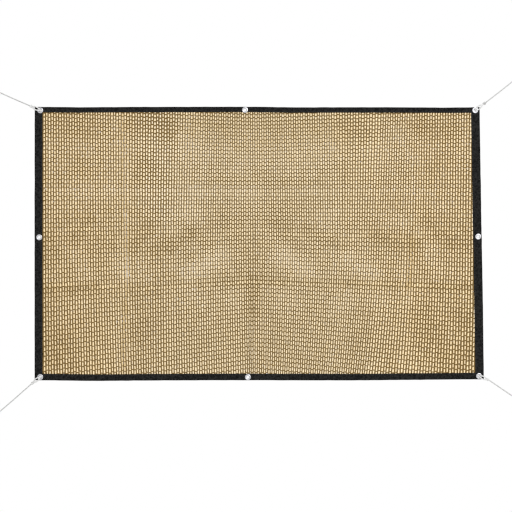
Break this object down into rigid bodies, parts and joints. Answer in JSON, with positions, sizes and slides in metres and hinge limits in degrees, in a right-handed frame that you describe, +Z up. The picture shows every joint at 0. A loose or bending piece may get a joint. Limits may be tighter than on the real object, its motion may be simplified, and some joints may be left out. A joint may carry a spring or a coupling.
{
  "type": "shade net",
  "caption": "Rectangular knitted shade net with black folded tape binding, round metal eyelets, and a rope tied through each corner.",
  "frame": {"origin": "middle of the panel's top edge, halfway through the binding tape", "axes": "+X along the top edge to the right as seen from the front, +Y through the net away from the viewer, +Z up"},
  "size_m": [1.8427, 0.0197, 1.2026],
  "materials": {
    "net": "tan knitted polyethylene net",
    "tape": "black woven binding tape",
    "eyelet": "bright rolled metal",
    "rope": "white twisted rope"
  },
  "bodies": {
    "root": {"net_panel": "net", "tape_top": "tape", "tape_bottom": "tape", "tape_left": "tape", "tape_right": "tape", "eyelet_top_left": "eyelet", "eyelet_top_middle": "eyelet", "eyelet_top_right": "eyelet", "eyelet_middle_left": "eyelet", "eyelet_middle_right": "eyelet", "eyelet_bottom_left": "eyelet", "eyelet_bottom_middle": "eyelet", "eyelet_bottom_right": "eyelet", "rope_turn_a_top_left": "rope", "rope_turn_b_top_left": "rope", "rope_knot_top_left": "rope", "rope_top_left": "rope", "rope_end_knot_top_left": "rope", "rope_end_loop_top_left": "rope", "rope_turn_a_top_right": "rope", "rope_turn_b_top_right": "rope", "rope_knot_top_right": "rope", "rope_top_right": "rope", "rope_end_knot_top_right": "rope", "rope_end_loop_top_right": "rope", "rope_turn_a_bottom_left": "rope", "rope_turn_b_bottom_left": "rope", "rope_knot_bottom_left": "rope", "rope_bottom_left": "rope", "rope_end_knot_bottom_left": "rope", "rope_end_loop_bottom_left": "rope", "rope_turn_a_bottom_right": "rope", "rope_turn_b_bottom_right": "rope", "rope_knot_bottom_right": "rope", "rope_bottom_right": "rope", "rope_end_knot_bottom_right": "rope", "rope_end_loop_bottom_right": "rope"}
  },
  "joints": []
}
